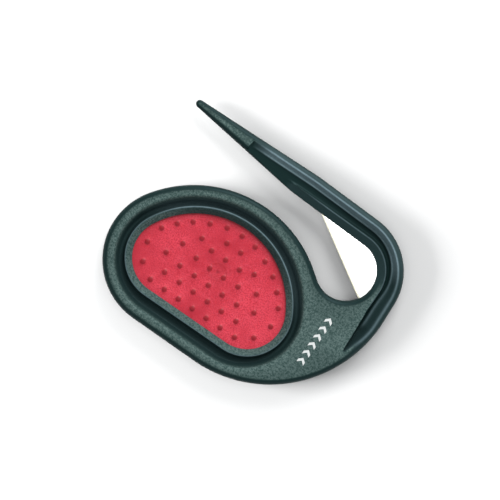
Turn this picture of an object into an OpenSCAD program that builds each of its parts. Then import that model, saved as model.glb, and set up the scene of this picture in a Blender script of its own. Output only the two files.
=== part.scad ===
// Hooked safety cutter for splitting matted coat.
// A thumb-sized soft pad is framed by a moulded ring, a blunt probe slides
// under the mat, and a fixed blade waits across the throat of the hook.
// Working axes: x runs along the grip, y up to the probe, z through the thickness.

/* [Grip pad] */
// Width of the visible pad
pad_w = 63.2; // [50:0.1:80]
// Pad edge below the pad's origin
pad_below = 17.9; // [14:0.1:24]
// Pad edge above the pad's origin
pad_above = 21.1; // [17:0.1:27]
// Radius of the pad's lower corners
pad_corner = 14.2; // [10:0.1:17]
// Thickness of the pad sheet
pad_t = 2.6; // [1.8:0.1:3.4]
// Width of the hidden rim that the shells clamp
pad_rim = 2.2; // [1.5:0.1:2.6]
// Diameter of a grip nub
nub_d = 2.2; // [1.4:0.1:3]
// Height of a grip nub above the sheet
nub_h = 0.5; // [0.2:0.05:0.8]

/* [Handle] */
// Thickness of the closed handle, face to face
tool_t = 11; // [9:0.1:14]
// Handle border beside the pad
border_side = 10.8; // [9.5:0.1:14]
// Handle border below the pad
border_below = 12.3; // [10:0.1:15]
// Handle border above the pad
border_above = 10.8; // [9.5:0.1:14]
// Flat face of the ring, outside the groove
ring_face = 5; // [4:0.1:6]
// Radius of the ring's lower left corner
ring_corner = 26.4; // [24:0.1:28]
// Radius of the heel, which runs up into the hook's back
heel_r = 49.7; // [45:0.1:58]
// Rounding of the outer edges
edge_r = 2; // [1:0.1:2.4]
// Width of the sloped lip round the pad, out to its crest
lip_w = 2.5; // [1.5:0.1:2.8]
// Width of the lip's crest and outer side
lip_back = 0.9; // [0.6:0.1:1.4]
// Height of the lip's crest above the joint plane
lip_rise = 3.8; // [2.6:0.1:4.2]
// Height of the groove's floor above the joint plane
groove_floor = 1.6; // [1.2:0.1:2.2]

/* [Hook and probe] */
// Gap between the grip and the probe
mouth = 10.4; // [8:0.1:14]
// Width of the arm over the mouth
arm_w = 10.2; // [8.5:0.1:12]
// Width of the arm at the back of the hook
hook_w = 11; // [9:0.1:13]
// Radius of the throat
throat_r = 11.4; // [9:0.1:13.8]
// Straight edge between the ring's crown and the throat
neck_l = 3.1; // [1.5:0.1:8]
// Outer radius of the hook's bend
bend_r = 23.5; // [20:0.1:26]
// Straight part of the hook's back, between the heel and the bend
back_l = 7.3; // [3:0.1:12]
// Radius of the probe's blunt tip
tip_r = 1.5; // [1.2:0.1:2]
// Thickness of the probe at its tip
tip_t = 3.2; // [2.6:0.1:4.4]
// Width of the rib along the arm's outer edge
rib_w = 2.3; // [1.8:0.1:3]
// Width of the rib along the arm's inner edge
inner_rib_w = 3.2; // [2.4:0.1:4]
// Height of the inner rib above the joint plane
inner_rib_rise = 3.4; // [2.8:0.1:4]
// Height of the arm's recess floor above the joint plane
recess_floor = 2.2; // [1.8:0.1:2.6]

/* [Blade] */
// Length of the cutting edge
blade_l = 38; // [36:0.5:42]
// How far the blade's back reaches into the arm, past the throat
blade_hold = 2.6; // [2:0.1:3.4]
// Thickness of the blade
blade_t = 0.5; // [0.3:0.05:0.8]
// Width of the ground bevel
bevel_w = 0.8; // [0.5:0.1:1.2]
// Angle of the cutting edge below the x axis
blade_angle = 31.8; // [28:0.1:36]

/* [Fits] */
// Diameter of a closing peg
peg_d = 2.4; // [1.6:0.1:2.9]
// Length of a closing peg beyond the joint plane
peg_l = 3; // [2:0.1:3.4]
// Diameter of a peg that holds the blade
blade_peg_d = 1.8; // [1.4:0.1:2.2]
// Radial gap round a peg
peg_fit = 0.05; // [0.02:0.01:0.2]
// Gap between the blade and each wall of its pocket
blade_fit = 0.03; // [0.01:0.01:0.1]
// Gap between the pad's rim and the groove that clamps it
rim_fit = 0.05; // [0.02:0.01:0.2]

/* [Hidden] */
$fn = 48;

half_t = tool_t / 2;            // joint plane to face
past = 1;                       // how far a cutter runs past a surface
arc_step = 6;                   // largest turn between outline points, degrees
edge_steps = 4;                 // facets round an outer edge
nub_steps = 24;                 // facets round a nub
thin_edge = 0.75;               // largest share of the probe's thickness that its edge may round off
peg_inset = 3;                  // peg centre to the handle's outer edge

// Reach of the ring from the pad's origin, and height of the arm's outer edge
ring_side = pad_w / 2 + border_side;
ring_below = pad_below + border_below;
ring_above = pad_above + border_above;
arm_y = ring_above + mouth + arm_w;
mouth_y = arm_y - arm_w;

// Small offsets that give the outline its sweep
crown_x = 1.2;                  // crown's centre, right of the pad's origin
crown_slack = 0.02;             // how far the crown's radius stays under the tangent one
corner_lift = 0.2;              // lower left corner above the heel's lowest point
throat_drop = 1.3;              // throat's top below the arm's inner edge
bend_drop = 0.9;                // bend's highest point below the arm's outer edge
shoulder_r = 61.6;              // radius of the arm's outer edge
shoulder_in = 50.7;             // shoulder's centre in from the hook's back
tip_drop = 2.8;                 // tip's centre below the arm's outer edge
knee_r = 28.1;                  // radius of the arm's inner edge, where the blade enters
knee_in = 53.7;                 // knee's centre in from the hook's back
knee_drop = 0.2;                // knee's lowest point below the arm's inner edge

// Arcs of the body outline, anticlockwise from the heel: centre x, centre y, radius.
// A negative radius is a hollow arc. Straight lines run between neighbours, tangent to both.
// The crown's radius makes it tangent to the lower left corner. The neck's length sets how far
// the throat stands off the crown, and the hook follows the throat.
ring_left = [ring_corner - ring_side, ring_corner - ring_below + corner_lift, ring_corner];
crown_h = ring_above - ring_left.y;
crown_r = (pow(ring_left.x - crown_x, 2) + pow(crown_h, 2) - pow(ring_corner, 2)) / (2 * (crown_h - ring_corner)) - crown_slack;
crown = [crown_x, ring_above - crown_r, crown_r];
throat_y = mouth_y - throat_r - throat_drop;
throat_x = crown_x + sqrt(pow(crown_r + throat_r, 2) + pow(neck_l, 2) - pow(throat_y - crown.y, 2));
throat = [throat_x, throat_y, -throat_r];
back_x = throat_x + throat_r + hook_w;
heel = [back_x - heel_r, heel_r - ring_below, heel_r];
bend_y = arm_y - bend_r - bend_drop;
bend = [heel.x + sqrt(pow(heel_r - bend_r, 2) + pow(back_l, 2) - pow(bend_y - heel.y, 2)), bend_y, bend_r];
shoulder = [back_x - shoulder_in, arm_y - shoulder_r, shoulder_r];
tip = [tip_r - ring_side, arm_y - tip_drop, tip_r];
knee = [back_x - knee_in, mouth_y - knee_drop + knee_r, knee_r];
body_arcs = [heel, bend, shoulder, tip, knee, throat, crown, ring_left];

// Arcs of the recess along the arm, inside the outer rib and down to a point on the hook's back
recess_end_x = -16;             // centre of the recess's end, towards the tip
recess_end_r = [0.6, 1];        // radii of its outer and inner corners
recess_lift = 3;                // its inner side above the arm's inner edge, at the end towards the tip
recess_foot = [6.1, 27.3, 0.5]; // lowest corner: in from the back, down from the crown, radius
recess_back = [13.9, 24];       // side along the back: centre down from the crown, radius
recess_web = [0.6, 6, 0.6];     // corner by the web: beyond the inner rib, down from the throat's centre, radius
recess_arcs = [
    [back_x - recess_foot.x, ring_above - recess_foot.y, recess_foot.z],
    [back_x - recess_back.y - rib_w, ring_above - recess_back.x, recess_back.y],
    [bend.x, bend.y, bend_r - rib_w],
    [shoulder.x, shoulder.y, shoulder_r - rib_w],
    [recess_end_x, arm_y - rib_w - recess_end_r[1], recess_end_r[0]],
    [recess_end_x, mouth_y + recess_lift + recess_end_r[1], recess_end_r[1]],
    [throat.x, throat.y, -throat_r - inner_rib_w],
    [throat.x + throat_r + inner_rib_w + recess_web.x, throat.y - recess_web.y, recess_web.z]
];

// Angle of the outward normal where the belt leaves arc a for arc b
function leave_angle(a, b) = atan2(b.y - a.y, b.x - a.x) - acos((a[2] - b[2]) / norm([b.x - a.x, b.y - a.y]));

// Turn along an arc between two normals: anticlockwise round a solid arc, clockwise round a hollow one
function turn(arc, from, to) = arc[2] > 0 ? (to - from) - 360 * floor((to - from) / 360)
                                          : -((from - to) - 360 * floor((from - to) / 360));

// Arc number and normal angle of every point on a belt of arcs
function stations(arcs) = [
    for (i = [0 : len(arcs) - 1])
        let (before = arcs[(i + len(arcs) - 1) % len(arcs)],
             from = leave_angle(before, arcs[i]),
             sweep = turn(arcs[i], from, leave_angle(arcs[i], arcs[(i + 1) % len(arcs)])),
             steps = max(1, ceil(abs(sweep) / arc_step)))
            for (k = [0 : steps]) [i, from + sweep * k / steps]
];

// Point at a station, moved inwards by inset
function at(arcs, s, inset) = [arcs[s[0]].x + (arcs[s[0]][2] - inset) * cos(s[1]),
                               arcs[s[0]].y + (arcs[s[0]][2] - inset) * sin(s[1])];

// Belt outline of a list of arcs, moved inwards by inset
function belt(arcs, inset = 0) = [for (s = stations(arcs)) at(arcs, s, inset)];

// Corner centres and crown of a D shape that is flat below and domed above
function d_arcs(half_w, below, above, corner) =
    let (a = half_w - corner, b = corner - below, h = above - b,
         dome = (a * a + h * h - corner * corner) / (2 * (h - corner)))
    [[a, b, corner], [0, above - dome, dome], [-a, b, corner]];

// Points of the D shape: two corner arcs and the dome, which is tangent to both
function d_points(arcs, inset) =
    let (right = arcs[0], dome = arcs[1], reach = atan2(right.y - dome.y, right.x),
         corner_steps = ceil((90 + reach) / arc_step), dome_steps = ceil((180 - 2 * reach) / arc_step),
         side = [for (k = [0 : corner_steps]) let (t = -90 + (90 + reach) * k / corner_steps)
                    [right.x + (right[2] - inset) * cos(t), right.y + (right[2] - inset) * sin(t)]],
         top = [for (k = [1 : dome_steps - 1]) let (t = reach + (180 - 2 * reach) * k / dome_steps)
                    [(dome[2] - inset) * cos(t), dome.y + (dome[2] - inset) * sin(t)]])
    concat(side, top, [for (k = [len(side) - 1 : -1 : 0]) [-side[k].x, side[k].y]]);

// Closed band swept round a loop: rings[i][j] is point j of section i
module band(rings) {
    n = len(rings);
    m = len(rings[0]);
    polyhedron(
        points = [for (ring = rings) for (p = ring) p],
        faces = [
            for (i = [0 : n - 1]) for (j = [0 : m - 1])
                let (i2 = (i + 1) % n, j2 = (j + 1) % m)
                    each [[i * m + j, i2 * m + j2, i * m + j2], [i * m + j, i2 * m + j, i2 * m + j2]]
        ]
    );
}

// Height of the face above the joint plane: full over the grip, falling along the arm to the tip
taper_x = throat.x;
taper_y = ring_above + mouth / 2;
taper_l = taper_x + ring_side;
taper_rise = half_t - tip_t / 2;
function face_at(p) = p.y > taper_y && p.x < taper_x ? half_t - taper_rise * (taper_x - p.x) / taper_l : half_t;

// Section that rounds an edge of radius r under a face at top. Both ends run on past the body, so it cuts cleanly.
function edge_section(top, r) =
    let (arc = [for (k = [0 : edge_steps]) let (t = 90 * k / edge_steps) [r * (1 - cos(t)), top - r + r * sin(t)]],
         low = arc[0] + (arc[0] - arc[1]) / 2,
         high = arc[edge_steps] + (arc[edge_steps] - arc[edge_steps - 1]) / 2)
    concat([low], [for (k = [1 : edge_steps - 1]) arc[k]], [high, [high.x, top + past], [-past, top + past], [-past, low.y]]);

// Rounding of the body's outer edge, smaller where the probe is thin
edge_reach = 0.9 * tip_r;       // keeps the rounding inside the tip's own radius
module edge_cutter() {
    band([
        for (s = stations(body_arcs))
            let (top = face_at(at(body_arcs, s, 0)), reach = s[0] == tip_number ? edge_reach : edge_r + past)
                [for (q = edge_section(top, min(edge_r, thin_edge * top)))
                    let (p = at(body_arcs, s, min(q.x, reach))) [p.x, p.y, q.y]]
    ]);
}
tip_number = 3;                 // place of the tip among the body's arcs

// Slope of the lip, from its crest down to the pad
pad_arcs = d_arcs(pad_w / 2, pad_below, pad_above, pad_corner);
lip_step = 0.6;                 // lip's inner edge above the pad's face
lip_over = 0.3;                 // how far the slope's cutter runs beyond the crest
lip_foot = pad_t / 2 + lip_step;
module lip_slope() {
    steps = len(d_points(pad_arcs, 0));
    reach = lip_w + lip_over;
    slope = (lip_rise - lip_foot) / lip_w;
    section = [[past, half_t], [-reach, half_t], [-reach, lip_foot + slope * reach], [past, lip_foot - slope * past]];
    loops = [for (q = section) d_points(pad_arcs, q.x)];
    band([for (k = [0 : steps - 1]) [for (j = [0 : len(section) - 1]) [loops[j][k].x, loops[j][k].y, section[j].y]]]);
}

// Wedge that thins the arm towards the probe's tip
module taper_cutter() {
    far = past + taper_l;
    translate([0, arm_y + 2 * past, 0]) rotate([90, 0, 0])
        linear_extrude(arm_y + 2 * past - taper_y)
            polygon([[taper_x, half_t], [taper_x, half_t + past], [taper_x - far, half_t + past],
                     [taper_x - far, half_t - taper_rise * far / taper_l]]);
}

// Ring groove, lip and window round the pad
groove_arcs = d_arcs(ring_side - ring_face, ring_below - ring_face, ring_above - ring_face, ring_corner - ring_face);
module ring_cutter() {
    translate([0, 0, lip_rise]) linear_extrude(half_t) polygon(d_points(groove_arcs, 0));
    translate([0, 0, groove_floor]) linear_extrude(half_t) difference() {
        polygon(d_points(groove_arcs, 0));
        polygon(d_points(pad_arcs, -lip_w - lip_back));
    }
    translate([0, 0, -past]) linear_extrude(half_t + 2 * past) polygon(d_points(pad_arcs, 0));
    lip_slope();
}

// Groove at the joint plane that clamps the pad's rim
module rim_cutter() {
    translate([0, 0, -past]) linear_extrude(past + pad_t / 2 + rim_fit) polygon(d_points(pad_arcs, -pad_rim - rim_fit));
}

// Recess along the arm. The ribs stay: the outer one at full height, the inner one lower.
// Beyond the inner rib's end the recess runs out through the arm's inner edge.
inner_rib_x = 4;                // end of the inner rib, towards the tip
recess_start = recess_end_x - recess_end_r[1];
module recess_cutter() {
    translate([0, 0, recess_floor]) linear_extrude(half_t) {
        polygon(belt(recess_arcs));
        translate([recess_start, mouth_y - past]) square([inner_rib_x - recess_start, past + recess_lift + recess_end_r[1]]);
    }
    translate([0, 0, inner_rib_rise]) linear_extrude(half_t) intersection() {
        polygon(belt(recess_arcs, -inner_rib_w - past));
        polygon(belt(body_arcs, rib_w));
        translate([inner_rib_x - past, throat.y]) square([back_x - inner_rib_x + past, arm_y - throat.y]);
    }
}

// Blade in its own axes: the cutting edge on the x axis, the body above it
blade_buried = 1.8;             // lower end of the edge, past the throat's wall
blade_back = [9.8, 2.6];        // how far each end of the back is set in from the edge's ends
blade_peg_in = [[27, 3.6], [6.6, 2]];   // peg centres, in from the blade's lower end and from its back
blade_peg_l = 1.5;              // reach of a blade peg above the joint plane, into each shell
edge_land = 0.05;               // half thickness left at the cutting edge
blade_depth = throat_r + blade_hold;
blade_tail = throat_r + blade_buried;
blade_pegs = [for (p = blade_peg_in) [blade_tail - p.x, blade_depth - p.y]];
blade_outline = [[blade_tail - blade_l, 0], [blade_tail, 0], [blade_tail - blade_back[1], blade_depth],
                 [blade_tail - blade_l + blade_back[0], blade_depth]];
module blade_place() { translate([throat.x, throat.y, 0]) rotate(-blade_angle) children(); }

module blade_pocket() {
    blade_place() {
        translate([0, 0, -past]) linear_extrude(past + blade_t / 2 + blade_fit)
            polygon([for (p = blade_outline) p + [p.x > 0 ? blade_fit : -blade_fit, p.y > 0 ? blade_fit : -blade_fit]]);
    }
}

// Centres of the closing pegs, under the ring's face, round the heel and in the web
crown_peg_turns = [69, 96, 129];
corner_peg_turns = [178, 228];
heel_peg_turns = [272, 306, 327];
web_peg = [1.8, 3.2];           // right of the ring's reach, below the throat's edge
function on_arc(arc, t) = [arc.x + (arc[2] - peg_inset) * cos(t), arc.y + (arc[2] - peg_inset) * sin(t)];
closing_pegs = concat(
    [for (t = crown_peg_turns) on_arc(crown, t)], [for (t = corner_peg_turns) on_arc(ring_left, t)],
    [for (t = heel_peg_turns) on_arc(heel, t)], [[ring_side + web_peg.x, throat.y - throat_r - web_peg.y]]
);

// Cored pockets that keep the web's wall even, with a rib left between them
core_skin = 1.8;                // skin left over a pocket
core_w = 9.4;                   // width of a pocket
core_in = 1.2;                  // how far the pockets reach inside the ring's side
core_y = [[-12, -0.4], [1, 13]];    // lower and upper end of each pocket
module core_cutter() {
    translate([0, 0, -past]) linear_extrude(past + half_t - core_skin) intersection() {
        polygon(belt(body_arcs, 2 * peg_inset));
        for (y = core_y) translate([ring_side - core_in, y[0]]) square([core_w, y[1] - y[0]]);
    }
}

// One shell, from the joint plane up to its face
module half_shell() {
    difference() {
        linear_extrude(half_t) polygon(body_outline);
        edge_cutter();
        taper_cutter();
        ring_cutter();
        rim_cutter();
        recess_cutter();
        blade_pocket();
        core_cutter();
    }
}

body_outline = belt(body_arcs);
mid_x = (min([for (p = body_outline) p.x]) + max([for (p = body_outline) p.x])) / 2;
mid_y = (min([for (p = body_outline) p.y]) + max([for (p = body_outline) p.y])) / 2;

// Puts a piece drawn about the joint plane into the tool's frame, resting on its rear face
module placed() { translate([-mid_x, -mid_y, half_t]) children(); }

module front_shell() {
    color([0.29, 0.34, 0.34]) placed() {
        half_shell();
        for (p = closing_pegs) translate([p.x, p.y, -peg_l]) cylinder(d = peg_d, h = peg_l);
        blade_place() for (p = blade_pegs)
            translate([p.x, p.y, blade_t / 2 + blade_fit - blade_peg_l]) cylinder(d = blade_peg_d, h = blade_peg_l);
    }
}

module rear_shell() {
    color([0.25, 0.30, 0.30]) placed() mirror([0, 0, 1]) difference() {
        half_shell();
        for (p = closing_pegs) translate([p.x, p.y, -past]) cylinder(d = peg_d + 2 * peg_fit, h = past + peg_l + peg_fit);
        blade_place() for (p = blade_pegs)
            translate([p.x, p.y, -past])
                cylinder(d = blade_peg_d + 2 * peg_fit, h = past + blade_peg_l - blade_t / 2 + peg_fit);
    }
}

module cutting_blade() {
    color([0.86, 0.88, 0.89]) placed() blade_place() difference() {
        translate([0, 0, -blade_t / 2]) linear_extrude(blade_t) polygon(blade_outline);
        for (side = [-1, 1])
            rotate([90, 0, 90]) translate([0, 0, -blade_l]) linear_extrude(2 * blade_l)
                polygon([[-past, side * (edge_land - past * (blade_t / 2 - edge_land) / bevel_w)], [bevel_w, side * blade_t / 2],
                         [bevel_w, side * blade_t], [-past, side * blade_t]]);
        for (p = blade_pegs) translate([p.x, p.y, -blade_t]) cylinder(d = blade_peg_d + 2 * peg_fit, h = 2 * blade_t);
    }
}

// Nub places for a pad of this width and height. They stretch with the pad.
nub_plan = [63.2, 39];
outer_nubs = [[0, -14.5], [6.3, -14.5], [12.6, -14.5], [19, -14.4], [25, -10.5], [27.8, -3.5], [26.3, 3.7],
              [22.5, 8.3], [18, 12.2], [12.4, 15.2], [6.3, 17.6], [0, 18.2]];
middle_nubs = [[3.2, -9.2], [9.5, -9.2], [16.1, -9.2], [19.8, -2.8], [16.6, 3.4], [11.8, 9], [3.1, 12.8]];
inner_nubs = [[0, -4], [6.3, -4], [12.8, -4], [9.4, 1.8], [6.3, 7.3], [0, 7.4], [3.1, 1.5]];
nubs = [for (p = concat(outer_nubs, middle_nubs, inner_nubs)) for (side = p.x == 0 ? [1] : [-1, 1])
            [side * p.x * pad_w / nub_plan.x, p.y * (pad_below + pad_above) / nub_plan.y]];

module grip_pad() {
    color([0.84, 0.27, 0.34]) placed() {
        translate([0, 0, -pad_t / 2]) linear_extrude(pad_t) polygon(d_points(pad_arcs, -pad_rim));
        for (p = nubs)
            translate([p.x, p.y, -pad_t / 2 - nub_h]) cylinder(d = nub_d, h = pad_t + 2 * nub_h, $fn = nub_steps);
    }
}

front_shell();
rear_shell();
cutting_blade();
grip_pad();
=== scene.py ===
"""Looks of a hooked safety cutter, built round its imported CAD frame.

The tool lies flat: two moulded shells closed on a joint plane, a soft nubbed
grip pad clamped between them and a steel blade across the throat of the hook.
Shapes are drawn in millimetres in the tool's own plan (origin in the middle of
the pad, x along the grip, y up to the probe, z from the joint plane) and are
placed into the frame in metres.
"""

import logging
import math
from dataclasses import dataclass
from enum import Enum
from typing import Callable, Optional, Sequence

import bpy
import numpy as np
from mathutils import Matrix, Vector
from mathutils.geometry import delaunay_2d_cdt

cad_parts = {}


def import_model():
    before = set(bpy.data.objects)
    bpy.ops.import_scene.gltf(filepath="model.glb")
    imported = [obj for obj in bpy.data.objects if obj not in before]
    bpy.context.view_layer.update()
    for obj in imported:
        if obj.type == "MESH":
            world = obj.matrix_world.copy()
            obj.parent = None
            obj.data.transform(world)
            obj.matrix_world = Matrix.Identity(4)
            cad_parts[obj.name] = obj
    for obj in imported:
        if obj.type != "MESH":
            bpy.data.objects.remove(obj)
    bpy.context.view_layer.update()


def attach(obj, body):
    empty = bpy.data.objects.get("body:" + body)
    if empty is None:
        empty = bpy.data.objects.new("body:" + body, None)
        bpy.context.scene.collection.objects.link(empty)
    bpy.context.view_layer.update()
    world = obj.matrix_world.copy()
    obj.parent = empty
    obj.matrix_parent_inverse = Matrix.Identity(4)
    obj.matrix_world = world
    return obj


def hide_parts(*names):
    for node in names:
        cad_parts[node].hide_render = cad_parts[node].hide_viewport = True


log = logging.getLogger("safety_cutter")

MM = 0.001
FULL_TURN = 2 * math.pi
FAR = 1e3  # mm; stands for a distance that can't be measured
SLACK = 1e-3  # mm or radians; how far past its end an arc or a line still counts
TINY = 1e-6  # mm; shorter than anything that is drawn
SLIVER = 1e-4  # mm; a triangle narrower than this between points of the rims is left out
MERGE = 1e-5  # mm; points closer than this become one
Array = np.ndarray
Height = Callable[[Array], Array]
Profile = tuple[tuple[float, ...], tuple[float, ...]]
Pair = tuple[float, float]  # the ends of a stretch, or two numbers that belong together
Colour = tuple[float, float, float]
Socket = bpy.types.NodeSocket


# ---------------------------------------------------------------- plan outlines


@dataclass(frozen=True)
class Arc:
    """One arc of an outline: centre and radius in mm. A negative radius is a hollow arc."""

    x: float
    y: float
    r: float

    @property
    def centre(self) -> Array:
        """Centre of the arc as a vector."""
        return np.array([self.x, self.y])


class Belt:
    """A closed outline of arcs joined by the straight lines tangent to both neighbours."""

    def __init__(self, arcs: Sequence[Arc]) -> None:
        """Works out where each arc starts and how far it turns.

        Args:
            arcs: the arcs in anticlockwise order.
        """
        self.arcs = list(arcs)
        count = len(self.arcs)
        self.start: list[float] = []
        self.sweep: list[float] = []
        for i, arc in enumerate(self.arcs):
            first = self._leave(self.arcs[i - 1], arc)
            last = self._leave(arc, self.arcs[(i + 1) % count])
            turn = (last - first) % FULL_TURN if arc.r > 0 else -((first - last) % FULL_TURN)
            if FULL_TURN - abs(turn) < TINY:
                turn = 0.0
            self.start.append(first)
            self.sweep.append(turn)

    @staticmethod
    def _leave(a: Arc, b: Arc) -> float:
        """Angle of the outward normal on the line from arc a to arc b.

        Args:
            a: the arc that the line leaves.
            b: the arc that it runs to.

        Returns:
            The angle in radians.
        """
        gap = b.centre - a.centre
        share = (a.r - b.r) / float(np.hypot(*gap))
        return math.atan2(gap[1], gap[0]) - math.acos(min(1.0, max(-1.0, share)))

    def _contact(self, i: int, angle: float) -> Array:
        """Point of arc i whose outward normal lies at an angle."""
        arc = self.arcs[i]
        return arc.centre + arc.r * np.array([math.cos(angle), math.sin(angle)])

    def stations(self, turn: float = 3.0, gap: float = 2.0) -> tuple[Array, Array]:
        """Points round the outline, with their outward normals.

        Args:
            turn: largest turn between neighbours on an arc, in degrees.
            gap: largest distance between neighbours on a straight line, in mm.

        Returns:
            Two arrays of the same length: points and unit normals.
        """
        points: list[Array] = []
        normals: list[Array] = []
        count = len(self.arcs)
        for i in range(count):
            steps = max(1, math.ceil(abs(self.sweep[i]) / math.radians(turn)))
            for k in range(steps + 1):
                angle = self.start[i] + self.sweep[i] * k / steps
                points.append(self._contact(i, angle))
                normals.append(np.array([math.cos(angle), math.sin(angle)]))
            leave = points[-1]
            arrive = self._contact((i + 1) % count, self.start[(i + 1) % count])
            cuts = math.ceil(float(np.hypot(*(arrive - leave))) / gap)
            for k in range(1, cuts):
                points.append(leave + (arrive - leave) * k / cuts)
                normals.append(normals[-1])
        kept = [k for k in range(len(points)) if np.hypot(*(points[k] - points[k - 1])) > SLACK]
        return np.array([points[k] for k in kept]), np.array([normals[k] for k in kept])

    def loop(self, inset: float = 0.0, turn: float = 3.0, gap: float = 2.0) -> Array:
        """Outline moved inwards by inset; outwards when it is negative."""
        points, normals = self.stations(turn, gap)
        return points - normals * inset

    def inset(self, p: Array, parts: Optional[Sequence[int]] = None) -> Array:
        """Distance inside the outline, negative outside it.

        Args:
            p: points, one a row.
            parts: numbers of the arcs to measure from, each with the line that follows it.

        Returns:
            One distance a point; a large number where none of the parts faces it.
        """
        best = np.full(len(p), FAR)
        count = len(self.arcs)
        for i in parts if parts is not None else range(count):
            arc = self.arcs[i]
            out = p - arc.centre
            reach = np.hypot(out[:, 0], out[:, 1])
            facing = np.arctan2(out[:, 1], out[:, 0])
            if arc.r > 0:
                turned = (facing - self.start[i] + SLACK) % FULL_TURN
                depth = arc.r - reach
            else:
                turned = (self.start[i] - facing + math.pi + SLACK) % FULL_TURN
                depth = reach + arc.r
            within = turned <= abs(self.sweep[i]) + 2 * SLACK
            closer = within & (np.abs(depth) < np.abs(best))
            best[closer] = depth[closer]
            angle = self.start[i] + self.sweep[i]
            normal = np.array([math.cos(angle), math.sin(angle)])
            leave = self._contact(i, angle)
            run = self._contact((i + 1) % count, self.start[(i + 1) % count]) - leave
            length = float(np.hypot(*run))
            if length < TINY:
                continue
            along = (p - leave) @ (run / length)
            depth = -((p - leave) @ normal)
            beside = (along >= -SLACK) & (along <= length + SLACK)
            closer = beside & (np.abs(depth) < np.abs(best))
            best[closer] = depth[closer]
        return best


def d_shape(half_w: float, below: float, above: float, corner: float) -> Belt:
    """Outline that is flat below and domed above, with two equal lower corners.

    Args:
        half_w: half of the width.
        below: reach below the origin.
        above: reach above the origin.
        corner: radius of the lower corners.

    Returns:
        The outline.
    """
    a, b, h = half_w - corner, corner - below, above + below - corner
    dome = (a * a + h * h - corner * corner) / (2 * (h - corner))
    return Belt([Arc(a, b, corner), Arc(0.0, above - dome, dome), Arc(-a, b, corner)])


def ramp(low: float, high: float, v: Array) -> Array:
    """Smooth step from 0 at low to 1 at high."""
    t = np.clip((v - low) / (high - low), 0.0, 1.0)
    return t * t * (3 - 2 * t)


def bell(v: Array, middle: float, width: float) -> Array:
    """Smooth bump of height 1 at middle, fallen to about a third at width from it."""
    return np.exp(-(((v - middle) / width) ** 2))


def ring_of(count: int, closed: bool = False) -> Array:
    """Points round a unit circle.

    Args:
        count: how many sides the circle has.
        closed: whether the first point comes again at the end.

    Returns:
        The points.
    """
    angles = np.linspace(0, FULL_TURN, count + 1)
    circle = np.stack([np.cos(angles), np.sin(angles)], -1)
    return circle if closed else circle[:-1]


def rounded(d: Array, radius: Array) -> Array:
    """Drop of a quarter-round edge, as a share of its radius, at distance d from the edge."""
    t = np.clip(1 - d / radius, 0.0, 1.0)
    return 1 - np.sqrt(1 - t * t)


# ---------------------------------------------------------------- sizes


@dataclass(frozen=True)
class ToolSizes:
    """Driving sizes of the cutter in mm, the same as the CAD model's."""

    pad_w: float = 63.2
    pad_below: float = 17.9
    pad_above: float = 21.1
    pad_corner: float = 14.2
    pad_t: float = 2.6
    pad_rim: float = 2.2
    nub_d: float = 2.2
    nub_h: float = 0.5
    tool_t: float = 11.0
    border_side: float = 10.8
    border_below: float = 12.3
    border_above: float = 10.8
    ring_face: float = 5.0
    ring_corner: float = 26.4
    heel_r: float = 49.7
    edge_r: float = 2.0
    lip_rise: float = 3.8
    groove_floor: float = 1.6
    mouth: float = 10.4
    arm_w: float = 10.2
    hook_w: float = 11.0
    throat_r: float = 11.4
    neck_l: float = 3.1
    bend_r: float = 23.5
    back_l: float = 7.3
    tip_r: float = 1.5
    tip_t: float = 3.2
    rib_w: float = 2.3
    inner_rib_w: float = 3.2
    recess_floor: float = 2.2
    blade_l: float = 38.0
    blade_hold: float = 2.6
    blade_t: float = 0.5
    blade_angle: float = 31.8
    blade_tail: float = 1.8
    tail_lean: float = 2.6
    head_lean: float = 9.8
    print_room: float = 0.015

    @property
    def half_t(self) -> float:
        """Joint plane to face."""
        return self.tool_t / 2

    @property
    def ring_side(self) -> float:
        """Reach of the ring beside the pad's origin."""
        return self.pad_w / 2 + self.border_side

    @property
    def ring_below(self) -> float:
        """Reach of the ring below the pad's origin."""
        return self.pad_below + self.border_below

    @property
    def ring_above(self) -> float:
        """Reach of the ring above the pad's origin."""
        return self.pad_above + self.border_above

    @property
    def arm_y(self) -> float:
        """Outer edge of the arm."""
        return self.ring_above + self.mouth + self.arm_w


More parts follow.
